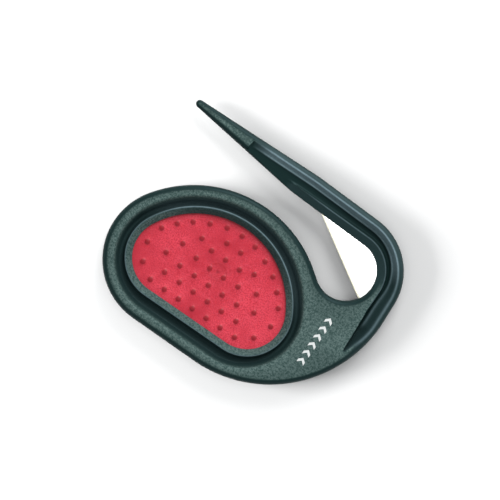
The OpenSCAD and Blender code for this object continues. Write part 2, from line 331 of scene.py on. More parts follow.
class Plan:
    """Outlines of the cutter in plan, worked out from its sizes."""

    def __init__(self, s: ToolSizes) -> None:
        """Draws every outline.

        Args:
            s: sizes of the cutter.
        """
        self.s = s
        mouth_y = s.arm_y - s.arm_w
        corner_lift, crown_x, crown_slack = 0.2, 1.2, 0.02
        left = Arc(s.ring_corner - s.ring_side, s.ring_corner - s.ring_below + corner_lift, s.ring_corner)
        crown_h = s.ring_above - left.y
        crown_r = ((left.x - crown_x) ** 2 + crown_h**2 - left.r**2) / (2 * (crown_h - left.r)) - crown_slack
        crown = Arc(crown_x, s.ring_above - crown_r, crown_r)
        throat_drop = 1.3
        throat_y = mouth_y - s.throat_r - throat_drop
        stand_off = (crown_r + s.throat_r) ** 2 + s.neck_l**2
        throat_x = crown_x + math.sqrt(stand_off - (throat_y - crown.y) ** 2)
        self.throat = Arc(throat_x, throat_y, -s.throat_r)
        self.back_x = throat_x + s.throat_r + s.hook_w
        heel = Arc(self.back_x - s.heel_r, s.heel_r - s.ring_below, s.heel_r)
        bend_drop = 0.9
        bend_y = s.arm_y - s.bend_r - bend_drop
        reach = (s.heel_r - s.bend_r) ** 2 + s.back_l**2 - (bend_y - heel.y) ** 2
        bend = Arc(heel.x + math.sqrt(reach), bend_y, s.bend_r)
        shoulder_r, shoulder_in, tip_drop = 61.6, 50.7, 2.8
        shoulder = Arc(self.back_x - shoulder_in, s.arm_y - shoulder_r, shoulder_r)
        tip = Arc(s.tip_r - s.ring_side, s.arm_y - tip_drop, s.tip_r)
        knee_r, knee_in, knee_drop = 28.1, 53.7, 0.2
        knee = Arc(self.back_x - knee_in, mouth_y - knee_drop + knee_r, knee_r)
        self.body = Belt([heel, bend, shoulder, tip, knee, self.throat, crown, left])
        self.recess = self._recess(bend, shoulder, mouth_y)
        self.pad = d_shape(s.pad_w / 2, s.pad_below, s.pad_above, s.pad_corner)
        self.groove = d_shape(
            s.ring_side - s.ring_face,
            s.ring_below - s.ring_face,
            s.ring_above - s.ring_face,
            s.ring_corner - s.ring_face,
        )
        outline = self.body.loop(0.0, 1.0)
        self.middle = (outline.min(0) + outline.max(0)) / 2

    def _recess(self, bend: Arc, shoulder: Arc, mouth_y: float) -> Belt:
        """Draws the sunk channel of the hook and the arm, between the ribs.

        Args:
            bend: arc of the body at the hook's upper corner.
            shoulder: arc of the body along the arm.
            mouth_y: lower edge of the arm.

        Returns:
            The channel's outline. Its arcs 0 to 3 follow the outer rib, 3 and 4 close its
            end on the arm, 5 and 6 follow the inner rib, and 7 follows the web.
        """
        s, throat = self.s, self.throat
        foot_in, foot_drop, foot_r = 6.1, 27.3, 0.5
        heel_r, heel_drop = 24.0, 13.9
        end_x, end_in, end_r = -16.0, 1.0, 0.6
        mouth_lift, mouth_r = 4.0, 1.0
        web_drop, web_r = 6.0, 0.6
        return Belt(
            [
                Arc(self.back_x - foot_in, s.ring_above - foot_drop, foot_r),
                Arc(self.back_x - heel_r - s.rib_w, s.ring_above - heel_drop, heel_r),
                Arc(bend.x, bend.y, bend.r - s.rib_w),
                Arc(shoulder.x, shoulder.y, shoulder.r - s.rib_w),
                Arc(end_x, s.arm_y - s.rib_w - end_in, end_r),
                Arc(end_x, mouth_y + mouth_lift, mouth_r),
                Arc(throat.x, throat.y, throat.r - s.inner_rib_w),
                Arc(throat.x + s.throat_r + s.inner_rib_w + web_r, throat.y - web_drop, web_r),
            ]
        )

    @property
    def blade_depth(self) -> float:
        """Blade's cutting edge to its back."""
        return self.s.throat_r + self.s.blade_hold

    @property
    def blade_end(self) -> float:
        """End of the cutting edge in the web, along the blade from the throat's centre."""
        return self.s.throat_r + self.s.blade_tail

    def blade_corners(self) -> Array:
        """Corners of the blade in plan.

        Returns:
            The two ends of the cutting edge, then the two of the back.
        """
        s, end, depth = self.s, self.blade_end, self.blade_depth
        head = end - s.blade_l
        own = np.array([[head, 0.0], [end, 0.0], [end - s.tail_lean, depth], [head + s.head_lean, depth]])
        return self.from_blade(own)

    def from_blade(self, own: Array) -> Array:
        """Turns points of the blade's own axes into the plan.

        Args:
            own: points along the blade and in from its edge.

        Returns:
            The same points in plan.
        """
        turn = math.radians(-self.s.blade_angle)
        c, n = math.cos(turn), math.sin(turn)
        return own @ np.array([[c, n], [-n, c]]) + self.throat.centre

    def to_blade(self, p: Array) -> Array:
        """Turns points of the plan into the blade's own axes.

        Args:
            p: plan points.

        Returns:
            The points along the blade and in from its edge.
        """
        turn = math.radians(self.s.blade_angle)
        c, n = math.cos(turn), math.sin(turn)
        return (p - self.throat.centre) @ np.array([[c, n], [-n, c]])


# ---------------------------------------------------------------- meshes


class Side(Enum):
    """Which way a face of the tool looks."""

    FRONT = 1
    REAR = -1


@dataclass
class Sheet:
    """Triangles over the plan, with the numbers of the points on each boundary loop."""

    points: Array
    triangles: Array
    rims: list[list[int]]


def enclosed(p: Array, loop: Array) -> Array:
    """Says which points lie inside a closed loop.

    Args:
        p: points, one a row.
        loop: corners of the loop.

    Returns:
        True for each point inside.
    """
    odd = np.zeros(len(p), bool)
    for a, b in zip(loop, np.roll(loop, -1, 0)):
        spans = (a[1] > p[:, 1]) != (b[1] > p[:, 1])
        if a[1] != b[1]:
            odd ^= spans & (p[:, 0] < a[0] + (b[0] - a[0]) * (p[:, 1] - a[1]) / (b[1] - a[1]))
    return odd


def triangulate(rims: Sequence[Array], lines: Sequence[Array], spots: Optional[Array] = None) -> Sheet:
    """Triangulates a flat region so that its edges follow given lines.

    Args:
        rims: closed boundary loops, the outer one first and then its holes.
        lines: open polylines that triangles don't cross.
        spots: single points to use as well.

    Returns:
        The triangles between the outer rim and the holes.
    """
    points: list[Vector] = []
    edges: list[tuple[int, int]] = []
    spans: list[range] = []
    for rim in rims:
        first = len(points)
        points += [Vector(p) for p in rim]
        spans.append(range(first, len(points)))
        edges += [(first + k, first + (k + 1) % len(rim)) for k in range(len(rim))]
    for line in lines:
        first = len(points)
        points += [Vector(p) for p in line]
        edges += [(k, k + 1) for k in range(first, len(points) - 1)]
    if spots is not None:
        points += [Vector(p) for p in spots]
    out, _, faces, origin, _, _ = delaunay_2d_cdt(points, edges, [], 0, MERGE)
    xy = np.array([tuple(v) for v in out])
    triangles = np.array([tuple(f) for f in faces])
    middles = xy[triangles].mean(1)
    kept = enclosed(middles, rims[0])
    for hole in rims[1:]:
        kept &= ~enclosed(middles, hole)
    place = {source: k for k, sources in enumerate(origin) for source in sources}
    bounds = [[place[k] for k in span] for span in spans]
    on_rim = np.zeros(len(xy), bool)
    on_rim[[k for rim in bounds for k in rim]] = True
    sides = xy[np.roll(triangles, 1, 1)] - xy[triangles]
    twice_area = np.abs(sides[:, 0, 0] * sides[:, 1, 1] - sides[:, 0, 1] * sides[:, 1, 0])
    breadth = twice_area / np.hypot(sides[..., 0], sides[..., 1]).max(1)
    kept &= ~(on_rim[triangles].all(1) & (breadth < SLIVER))
    return Sheet(xy, triangles[kept], bounds)


def clipped(line: Array, keep: Array, closed: bool) -> list[Array]:
    """Runs of a polyline whose points are kept.

    Args:
        line: points of the polyline.
        keep: which of them stay.
        closed: whether the last point joins the first.

    Returns:
        The runs that have two points or more.
    """
    if closed and keep.all():
        return [np.vstack([line, line[:1]])]
    if closed and keep.any():
        shift = int(np.argmin(keep))
        line, keep = np.roll(line, -shift, 0), np.roll(keep, -shift)
    runs: list[Array] = []
    first = None
    for k, kept in enumerate(list(keep) + [False]):
        if kept and first is None:
            first = k
        elif not kept and first is not None:
            if k - first > 1:
                runs.append(line[first:k])
            first = None
    return runs


class Solid:
    """Collects points and faces in mm, then becomes a Blender object in the frame."""

    def __init__(self, middle: Array, lift: float) -> None:
        """Starts an empty solid.

        Args:
            middle: plan point that lies over the frame's origin.
            lift: height of the joint plane above the surface the tool rests on.
        """
        self.middle = middle
        self.lift = lift
        self.points: list[tuple[float, float, float]] = []
        self.faces: list[tuple[int, ...]] = []

    def add(self, xy: Array, z: Array) -> int:
        """Adds points.

        Args:
            xy: plan points.
            z: their heights above the joint plane.

        Returns:
            The number of the first.
        """
        first = len(self.points)
        self.points += [(float(p[0]), float(p[1]), float(h)) for p, h in zip(xy, z)]
        return first

    def cover(self, sheet: Sheet, height: Height, up: bool) -> list[list[int]]:
        """Lays a sheet of triangles at a height.

        Args:
            sheet: the triangles.
            height: height of each plan point.
            up: whether the surface faces up.

        Returns:
            The point numbers on each of the sheet's rims.
        """
        first = self.add(sheet.points, height(sheet.points))
        for t in sheet.triangles:
            a, b, c = (int(k) + first for k in t)
            self.faces.append((a, b, c) if up else (a, c, b))
        return [[k + first for k in rim] for rim in sheet.rims]

    def wall(self, low: Sequence[int], high: Sequence[int]) -> None:
        """Closes the gap between two loops of the same length, anticlockwise from outside.

        Args:
            low: point numbers of the lower loop.
            high: point numbers of the upper loop.
        """
        count = len(low)
        for k in range(count):
            n = (k + 1) % count
            self.faces.append((low[k], low[n], high[n], high[k]))

    def build(self, name: str, side: Side = Side.FRONT, sharp: float = 35.0) -> bpy.types.Object:
        """Makes the object.

        Args:
            name: name of the piece.
            side: the face it belongs to; a rear piece is the mirror image.
            sharp: angle in degrees above which an edge stays crisp.

        Returns:
            The new object, linked to the scene.
        """
        co = np.array(self.points)
        co[:, :2] -= self.middle
        co[:, 2] = self.lift + side.value * co[:, 2]
        used = np.zeros(len(co), bool)
        used[[k for face in self.faces for k in face]] = True
        number = np.cumsum(used) - 1
        faces = [tuple(int(number[k]) for k in face) for face in self.faces]
        if side is Side.REAR:
            faces = [face[::-1] for face in faces]
        mesh = bpy.data.meshes.new(name)
        mesh.from_pydata([tuple(p) for p in co[used] * MM], [], faces)
        mesh.validate()
        mesh.polygons.foreach_set("use_smooth", np.ones(len(mesh.polygons), bool))
        mesh.set_sharp_from_angle(angle=math.radians(sharp))
        mesh.update()
        piece = bpy.data.objects.new(name, mesh)
        bpy.context.scene.collection.objects.link(piece)
        return piece

    def plan_of(self, piece: bpy.types.Object) -> tuple[Array, Array]:
        """Plan points and heights of a built piece, in mm.

        Args:
            piece: the object made by build.

        Returns:
            The plan points and the heights above the joint plane.
        """
        co = np.zeros(len(piece.data.vertices) * 3)
        piece.data.vertices.foreach_get("co", co)
        co = co.reshape(-1, 3) / MM
        return co[:, :2] + self.middle, co[:, 2] - self.lift


def paint(piece: bpy.types.Object, name: str, values: Array) -> None:
    """Stores one value a point for the piece's material to read.

    Args:
        piece: the object.
        name: name of the attribute.
        values: the values, from 0 to 1.
    """
    layer = piece.data.attributes.new(name, "FLOAT", "POINT")
    layer.data.foreach_set("value", values.astype(np.float32))


# ---------------------------------------------------------------- finishes


NOISE_SPAN = (0.3, 0.7)  # where nearly all of a noise's values lie


class Nodes:
    """Short calls for building a material's node tree."""

    def __init__(self, name: str) -> None:
        """Starts a material with one principled shader.

        Args:
            name: name of the material.
        """
        self.material = bpy.data.materials.new(name)
        self.material.use_nodes = True
        self.tree = self.material.node_tree
        self.shader = self.tree.nodes["Principled BSDF"]

    def add(self, kind: str, **settings: object) -> bpy.types.Node:
        """Adds a node and sets its properties.

        Args:
            kind: Blender's name of the node's type.
            settings: its properties by name.

        Returns:
            The node.
        """
        node = self.tree.nodes.new(kind)
        for key, value in settings.items():
            setattr(node, key, value)
        return node

    def link(self, source: Socket, target: Socket) -> None:
        """Joins two sockets."""
        self.tree.links.new(source, target)

    def attribute(self, name: str) -> Socket:
        """Value of a point attribute."""
        return self.add("ShaderNodeAttribute", attribute_name=name).outputs["Fac"]

    def noise(self, scale: float, detail: float = 2.0) -> Socket:
        """Noise over the piece's own axes.

        Args:
            scale: waves a metre.
            detail: number of finer layers.

        Returns:
            The noise value's socket.
        """
        place = self.add("ShaderNodeTexCoord").outputs["Object"]
        node = self.add("ShaderNodeTexNoise")
        node.inputs["Scale"].default_value = scale
        node.inputs["Detail"].default_value = detail
        self.link(place, node.inputs["Vector"])
        return node.outputs["Fac"]

    def spread(self, source: Socket, low: float, high: float, to_low: float, to_high: float) -> Socket:
        """Maps a value from one range to another.

        Args:
            source: the value.
            low: start of its range.
            high: end of its range.
            to_low: result at low.
            to_high: result at high.

        Returns:
            The mapped value's socket.
        """
        node = self.add("ShaderNodeMapRange")
        ends = {"From Min": low, "From Max": high, "To Min": to_low, "To Max": to_high}
        for key, value in ends.items():
            node.inputs[key].default_value = value
        self.link(source, node.inputs["Value"])
        return node.outputs["Result"]

    def math(self, operation: str, a: Socket | float, b: Socket | float) -> Socket:
        """Arithmetic on two values, each a socket or a number.

        Args:
            operation: name of the operation.
            a: first value.
            b: second value.

        Returns:
            The result's socket.
        """
        node = self.add("ShaderNodeMath", operation=operation)
        for socket, value in zip(node.inputs, (a, b)):
            if isinstance(value, (int, float)):
                socket.default_value = value
            else:
                self.link(value, socket)
        return node.outputs[0]

    def mix(self, factor: Socket, a: Socket | Colour, b: Socket | Colour) -> Socket:
        """Blends two colours, each a socket or a colour.

        Args:
            factor: 0 for the first, 1 for the second.
            a: first colour.
            b: second colour.

        Returns:
            The blended colour's socket.
        """
        node = self.add("ShaderNodeMix", data_type="RGBA")
        self.link(factor, node.inputs["Factor"])
        for socket, value in zip((node.inputs[6], node.inputs[7]), (a, b)):
            if isinstance(value, tuple):
                socket.default_value = (*value, 1.0)
            else:
                self.link(value, socket)
        return node.outputs[2]

    def bump(
        self, height: Socket, distance: float, strength: Socket | float, base: Optional[Socket] = None
    ) -> Socket:
        """Bump from a height.

        Args:
            height: the height's socket.
            distance: real height of the bumps, in metres.
            strength: a number or a socket.
            base: normal of an earlier bump, if any.

        Returns:
            The normal's socket.
        """
        node = self.add("ShaderNodeBump")
        node.inputs["Distance"].default_value = distance
        if isinstance(strength, (int, float)):
            node.inputs["Strength"].default_value = strength
        else:
            self.link(strength, node.inputs["Strength"])
        self.link(height, node.inputs["Height"])
        if base is not None:
            self.link(base, node.inputs["Normal"])
        return node.outputs["Normal"]


@dataclass(frozen=True)
class MouldedPlastic:
    """Black-green plastic: spark-textured on the flat faces, satin in the grooves and on the ribs."""

    name: str = "moulded_plastic"
    satin: Colour = (0.0060, 0.0190, 0.0180)
    sparked: Colour = (0.037, 0.072, 0.066)
    pale: Colour = (0.130, 0.192, 0.180)
    sheen: Colour = (0.55, 0.85, 0.90)
    # Colour painted on the satin as highlight and reflection, where the attribute rub is high.
    painted_light: Colour = (0.230, 0.330, 0.370)
    grain_scale: float = 3200.0
    coarse_share: float = 0.42
    cloud_scale: float = 90.0
    speck_span: tuple[float, float] = (0.82, 1.18)
    # Spread of the painted highlight's strength over the coarse noise.
    highlight_span: tuple[float, float] = (0.85, 1.10)
    satin_rough: tuple[float, float] = (0.42, 0.50)
    sparked_rough: tuple[float, float] = (0.70, 0.56)
    reflection: float = 0.20
    grain_height: float = 0.00006
    grain_strength: tuple[float, float] = (0.06, 0.8)
    wave_height: float = 0.00004
    wave_strength: float = 0.25

    def material(self) -> bpy.types.Material:
        """Builds the material.

        Returns:
            The material. It reads two attributes: grain, 1 where the face is textured, made
            lower on the lip towards the top as painted shade; and rub, 1 where the satin is
            painted palest, as painted highlights on the crests and painted light in the groove.
        """
        n = Nodes(self.name)
        grain_and_lip_shade = n.attribute("grain_and_lip_shade")
        painted_highlight = n.attribute("painted_highlight")
        fine = n.noise(self.grain_scale, 3.0)
        coarse = n.noise(self.grain_scale * self.coarse_share, 2.0)
        cloud = n.noise(self.cloud_scale, 3.0)
        speck = n.spread(n.math("ADD", fine, coarse), *self.speck_span, 0.0, 1.0)
        sparked = n.mix(speck, self.sparked, self.pale)
        # Painted highlight: the satin is mixed towards the pale painted colour where rub is high.
        painted_sheen = n.math("MULTIPLY", painted_highlight, n.spread(coarse, *NOISE_SPAN, *self.highlight_span))
        highlighted = n.mix(painted_sheen, self.satin, self.painted_light)
        n.link(n.mix(grain_and_lip_shade, highlighted, sparked), n.shader.inputs["Base Color"])
        satin_rough = n.spread(cloud, *NOISE_SPAN, *self.satin_rough)
        rough = n.add("ShaderNodeMix", data_type="FLOAT")
        n.link(grain_and_lip_shade, rough.inputs["Factor"])
        n.link(satin_rough, rough.inputs[2])
        n.link(n.spread(speck, 0.0, 1.0, *self.sparked_rough), rough.inputs[3])
        n.link(rough.outputs[0], n.shader.inputs["Roughness"])
        n.shader.inputs["Specular IOR Level"].default_value = self.reflection
        n.shader.inputs["Specular Tint"].default_value = (*self.sheen, 1.0)
        strength = n.spread(grain_and_lip_shade, 0.0, 1.0, *self.grain_strength)
        waves = n.bump(cloud, self.wave_height, self.wave_strength)
        n.link(n.bump(speck, self.grain_height, strength, waves), n.shader.inputs["Normal"])
        return n.material


@dataclass(frozen=True)
class SoftElastomer:
    """Translucent red elastomer, deeper in colour where it is thicker and with a painted shadow near its
    rim.
    """

    name: str = "soft_elastomer"
    sheet: Colour = (0.56, 0.018, 0.042)
    cloudy: Colour = (0.82, 0.060, 0.100)
    # Deep red of the nubs, also used for the painted shadow near the pad's rim.
    thick_and_shaded: Colour = (0.34, 0.007, 0.018)
    grain_scale: float = 2100.0
    cloud_scale: float = 70.0
    rough: tuple[float, float] = (0.42, 0.58)
    scatter: float = 0.25
    scatter_radius: tuple[float, float, float] = (1.0, 0.12, 0.10)
    scatter_scale: float = 0.0022
    ior: float = 1.46
    grain_height: float = 0.00003
    grain_strength: float = 0.6

    def material(self) -> bpy.types.Material:
        """Builds the material.

        Returns:
            The material. It reads the attribute thick, 1 where the nubs stand and where shadow is painted
            near the rim.
        """
        n = Nodes(self.name)
        thick_and_shaded = n.attribute("thick_and_shaded")
        fine = n.noise(self.grain_scale, 3.0)
        cloud = n.noise(self.cloud_scale, 2.0)
        patches = n.spread(cloud, *NOISE_SPAN, 0.10, 1.0)
        mottle = n.math("MULTIPLY", patches, n.spread(fine, 0.34, 0.66, 0.15, 1.6))
        pale = n.mix(mottle, self.sheet, self.cloudy)
        n.link(n.mix(thick_and_shaded, pale, self.thick_and_shaded), n.shader.inputs["Base Color"])
        n.link(n.spread(fine, *NOISE_SPAN, *self.rough), n.shader.inputs["Roughness"])
        n.shader.inputs["Subsurface Weight"].default_value = self.scatter
        n.shader.inputs["Subsurface Radius"].default_value = self.scatter_radius
        n.shader.inputs["Subsurface Scale"].default_value = self.scatter_scale
        n.shader.inputs["IOR"].default_value = self.ior
        n.link(n.bump(fine, self.grain_height, self.grain_strength), n.shader.inputs["Normal"])
        return n.material


@dataclass(frozen=True)
class GroundSteel:
    """Bright blade steel with grinding lines that run across the edge."""

    name: str = "ground_steel"
    colour: Colour = (0.93, 0.93, 0.915)
    streaked: Colour = (0.97, 0.97, 0.96)
    bevel: Colour = (0.62, 0.60, 0.48)
    metal: float = 0.9
    rough: tuple[float, float] = (0.34, 0.46)
    line_angle: float = 58.2
    line_scale: float = 9000.0
    line_stretch: float = 0.04
    line_height: float = 0.000004
    line_strength: float = 0.5

    def material(self) -> bpy.types.Material:
        """Builds the material.

        Returns:
            The material. It reads the attribute ground, 1 on the bevel.
        """
        n = Nodes(self.name)
        ground = n.attribute("ground")
        place = n.add("ShaderNodeTexCoord").outputs["Object"]
        turn = n.add("ShaderNodeMapping")
        turn.inputs["Rotation"].default_value = (0.0, 0.0, math.radians(-self.line_angle))
        n.link(place, turn.inputs["Vector"])
        squeeze = n.add("ShaderNodeMapping")
        squeeze.inputs["Scale"].default_value = (self.line_stretch, 1.0, 1.0)
        n.link(turn.outputs["Vector"], squeeze.inputs["Vector"])
        lines = n.add("ShaderNodeTexNoise")
        lines.inputs["Scale"].default_value = self.line_scale
        lines.inputs["Detail"].default_value = 2.0
        n.link(squeeze.outputs["Vector"], lines.inputs["Vector"])
        streak = lines.outputs["Fac"]
        body = n.mix(n.spread(streak, *NOISE_SPAN, 0.0, 1.0), self.colour, self.streaked)
        n.link(n.mix(ground, body, self.bevel), n.shader.inputs["Base Color"])
        n.shader.inputs["Metallic"].default_value = self.metal
        n.link(n.spread(streak, *NOISE_SPAN, *self.rough), n.shader.inputs["Roughness"])
        n.link(n.bump(streak, self.line_height, self.line_strength), n.shader.inputs["Normal"])
        return n.material


@dataclass(frozen=True)
class PrintedInk:
    """White pad-printing ink, slightly uneven at its edges."""

    name: str = "printed_ink"
    colour: Colour = (0.86, 0.88, 0.87)
    thin: Colour = (0.70, 0.73, 0.72)
    grain_scale: float = 5200.0
    grain_height: float = 0.00001
    rough: float = 0.5

    def material(self) -> bpy.types.Material:
        """Builds the material.

        Returns:
            The material.
        """
        n = Nodes(self.name)
        cover = n.noise(self.grain_scale, 3.0)
        colour = n.mix(n.spread(cover, 0.35, 0.75, 0.0, 1.0), self.colour, self.thin)
        n.link(colour, n.shader.inputs["Base Color"])
        n.shader.inputs["Roughness"].default_value = self.rough
        n.link(n.bump(cover, self.grain_height, 0.4), n.shader.inputs["Normal"])
        return n.material


def dress(piece: bpy.types.Object, material: bpy.types.Material) -> None:
    """Gives a piece its one material."""
    piece.data.materials.clear()
    piece.data.materials.append(material)


# ---------------------------------------------------------------- shells


@dataclass(frozen=True)
class Texture:
    """Where the moulding is spark-textured, and where the lip carries painted shade.

    A span is the stretch in mm over which the texture comes or goes, and rib_start is
    the x and the y from which the outer rib is satin. Shares run from 0 to 1.
    """

    off_edge: Pair = (1.4, 2.6)
    off_groove: Pair = (-0.6, 1.2)
    rib_room: float = 0.25
    rib_start: Pair = (-15.0, 4.0)
    rib_x: Pair = (-15.5, -11.0)
    rib_y: Pair = (3.0, 9.0)
    lip_w: float = 2.5
    lip_fade: float = 0.4
    lip_share: float = 0.72
    # Painted shade: lip_painted_shade and lip_painted_light_y make the lip less textured, so darker, towards
    # the top.
    lip_painted_shade: float = 0.5
    lip_painted_light_y: Pair = (6.0, 19.0)
    joint_z: float = 0.3


@dataclass(frozen=True)
class PaintedHighlight:
    """Where the satin is painted paler: painted highlights along the crests of the ribs and
    of the lip, and painted light in the groove round the pad.

    A name that ends in x or y is the stretch of the plan in mm over which this painted
    light comes or goes. One that ends in at is the middle and the width of a painted
    highlight line, shelf_end and side_end are where a band stops and how softly. The plain
    pairs are a share of the palest, and how much it changes on the hook's back or up the grip.
    """

    reach: float = 4.5
    rib_x: Pair = (-17.0, -6.0)
    low_y: Pair = (34.0, 44.0)
    shelf_end: Pair = (2.35, 0.4)
    shelf: Pair = (0.44, 0.40)
    side_end: Pair = (2.2, 0.8)
    side: Pair = (0.09, 0.07)
    crest_at: Pair = (-0.12, 0.28)
    crest: Pair = (0.78, 0.42)
    crest_y: Pair = (3.0, 12.0)
    bead_at: Pair = (1.85, 0.24)
    bead: Pair = (0.16, 0.08)
    bead_y: Pair = (18.0, 14.0)
    inner_at: Pair = (0.05, 0.2)
    inner: float = 0.40
    inner_x: Pair = (1.0, 16.0)
    inner_past: float = 1.0
    rib_top: float = 0.05
    rib_top_y: Pair = (30.0, 36.0)
    lip_at: Pair = (2.5, 0.24)
    lip: Pair = (0.42, 0.30)
    lip_painted_light_y: Pair = (4.0, 15.0)
    groove_start: Pair = (2.7, 3.1)
    groove_end: Pair = (-0.2, 0.6)
    groove: Pair = (0.035, 0.10)
    groove_y: Pair = (2.0, 14.0)


@dataclass
class ShellPair:
    """Front and rear shells: mirror halves of the ring, the web, the hook and the probe."""

    plan: Plan
    seam: float = 0.12
    skin: float = 0.035
    lip_foot: float = 1.9
    lip_reach: float = 3.8
    crest_drop: float = 0.9
    thin_wall: float = 0.35
    end_x: float = -16.8
    rib_x: float = 4.0
    rib_fade: Pair = (-3.0, 5.0)
    rib_reach: float = 2.5
    rib_drop: float = 8.0
    rib_slack: float = 0.9
    rounding_share: float = 0.75
    pocket_room: float = 0.05
    blade_room: float = 0.03
    back_x: Pair = (46.0, 54.0)
    back_y: Pair = (24.0, 47.0)
    back_loss: float = 0.46
    hook_y: Pair = (25.0, 36.0)
    shelf_x: float = 50.0
    shelf_y: Pair = (13.5, 17.0)
    arm_end_x: float = -14.0
    texture: Texture = Texture()
    # Painted highlights on the satin crests and painted light in the groove.
    painted_sheen: PaintedHighlight = PaintedHighlight()
    # Profiles: distances in mm, then the share of the full height at each.
    lip_profile: Profile = (
        (0.0, 0.5, 1.4, 2.1, 2.4, 2.55, 2.7, 2.9, 3.2, 3.55, 3.8),
        (0.0, 0.28, 0.70, 0.93, 0.99, 1.0, 0.97, 0.72, 0.28, 0.05, 0.0),
    )
    groove_wall: Profile = (
        (-1.6, -1.2, -0.9, -0.6, -0.3, 0.0, 0.3, 0.6, 0.9, 1.2, 1.5),
        (1.0, 0.992, 0.97, 0.925, 0.85, 0.73, 0.56, 0.36, 0.17, 0.04, 0.0),
    )
    shelf_profile: Profile = (
        (0.0, 0.15, 0.4, 0.8, 1.2, 1.5, 1.68, 1.82, 1.96, 2.1, 2.3, 2.55, 2.9),
        (1.0, 0.965, 0.84, 0.60, 0.40, 0.31, 0.29, 0.325, 0.335, 0.30, 0.17, 0.04, 0.0),
    )
    plain_profile: Profile = (
        (0.0, 0.15, 0.4, 0.8, 1.2, 1.6, 2.0),
        (1.0, 0.955, 0.78, 0.44, 0.18, 0.04, 0.0),
    )
    steep_profile: Profile = (
        (0.0, 0.12, 0.3, 0.5, 0.75, 1.0),
        (1.0, 0.93, 0.66, 0.32, 0.07, 0.0),
    )
    # Where triangles follow each shape: degrees round the outer edge, the rest in mm.
    edge_turns: tuple[float, ...] = (14, 28, 42, 56, 70, 80, 90)
    lip_lines: tuple[float, ...] = (
        0.12, 0.5, 1.0, 1.5, 2.0, 2.25, 2.4, 2.55, 2.7, 2.85, 3.05, 3.25, 3.5, 3.8
    )
    crest_lines: tuple[float, ...] = (-0.4, -0.15, 0.0, 0.12, 0.3, 0.5, 0.75, 1.0)
    slope_lines: tuple[float, ...] = (
        -0.12, 0.0, 0.15, 0.4, 0.8, 1.2, 1.5, 1.68, 1.82, 1.96, 2.1, 2.3, 2.55, 2.9
    )

    def face(self, p: Array) -> Array:
        """Height of the plain face: flat over the grip, falling along the arm to the tip.

        Args:
            p: plan points.

        Returns:
            The heights above the joint plane.
        """
        s = self.plan.s
        grip = s.half_t - s.print_room
        x0 = self.plan.throat.x
        fall = (s.half_t - s.tip_t / 2) * (x0 - p[:, 0]) / (x0 + s.ring_side)
        arm = (p[:, 1] > s.ring_above + s.mouth / 2) & (p[:, 0] < x0)
        return np.where(arm, grip - fall, grip)

    def edge_radius(self, face: Array) -> Array:
        """Radius of the outer rounding, less where the shell is thin."""
        return np.minimum(self.plan.s.edge_r, self.rounding_share * face)

    def groove(self, p: Array, face: Array) -> Array:
        """Height of the lip, its crest and the groove round the pad.

        Args:
            p: plan points.
            face: height of the plain face there.

        Returns:
            The heights above the joint plane.
        """
        s = self.plan.s
        off_pad = -self.plan.pad.inset(p)
        in_groove = self.plan.groove.inset(p)
        crest = self.lip_profile[0][int(np.argmax(self.lip_profile[1]))]
        foot = np.where(off_pad < crest, self.lip_foot, s.groove_floor)
        lip = foot + (s.lip_rise - foot) * np.interp(off_pad, *self.lip_profile)
        wall = s.groove_floor + (face - s.groove_floor) * np.interp(in_groove, *self.groove_wall)
        height = np.where(off_pad < self.lip_reach, np.maximum(lip, wall), wall)
        return np.where(in_groove > self.groove_wall[0][0], height, face)

    def slope_scale(self, p: Array) -> Array:
        """How much narrower the outer rib's inner slope is low on the hook's back."""
        low = 1 - ramp(*self.back_y, p[:, 1])
        return 1 - self.back_loss * low * ramp(*self.back_x, p[:, 0])

    def rib_share(self, p: Array) -> Array:
        """How far the inner rib has risen, 0 to 1: it fades out along the arm."""
        start, end = self.rib_fade
        return ramp(self.rib_x + start, self.rib_x + end, p[:, 0])

    def recess(self, p: Array, face: Array) -> tuple[Array, Array]:
        """Height of the arm with its recess and inner rib.

        Args:
            p: plan points.
            face: height of the plain face there.

        Returns:
            The height, and how far each point is from being plain face, 0 to 1.
        """
        s, recess = self.plan.s, self.plan.recess
        floor = np.minimum(s.recess_floor, face - self.thin_wall)
        outer = recess.inset(p, (0, 1, 2, 3)) * self.slope_scale(p)
        inner = recess.inset(p, (5, 6))
        on_hook = ramp(*self.hook_y, p[:, 1])
        crest = face - self.crest_drop * on_hook
        shelf = np.where(p[:, 0] > self.shelf_x, ramp(*self.shelf_y, p[:, 1]), 1.0)
        plain = np.interp(outer, *self.plain_profile)
        slope = plain + (np.interp(outer, *self.shelf_profile) - plain) * shelf
        from_outer = floor + (face - floor) * slope
        from_inner = floor + (crest - floor) * np.interp(inner, *self.steep_profile) * self.rib_share(p)
        from_web = floor + (face - floor) * np.interp(recess.inset(p, (7,)), *self.steep_profile)
        from_end = floor + (face - floor) * np.interp(recess.inset(p, (3, 4)), *self.steep_profile)
        at_end = np.where(p[:, 0] < self.arm_end_x, from_end, floor)
        sunk = np.maximum.reduce([floor, from_outer, from_inner, from_web, at_end])
        depth = recess.inset(p)
        edge = self.plan.body.inset(p)
        above = (p[:, 0] > self.end_x) & (p[:, 1] > self.plan.throat.y - self.rib_drop)
        beside = above & (depth <= 0) & (edge < s.inner_rib_w + self.rib_slack)
        beside &= (inner < 0) & (inner > -s.inner_rib_w - self.rib_reach)
        rib = crest - on_hook * np.clip(1 - edge / s.inner_rib_w, 0, 1)
        rib = floor + (rib - floor) * self.rib_share(p)
        height = np.where(depth > 0, sunk, np.where(beside, rib, face))
        return height, np.where(depth > 0, 1.0, np.where(beside, on_hook, 0.0))

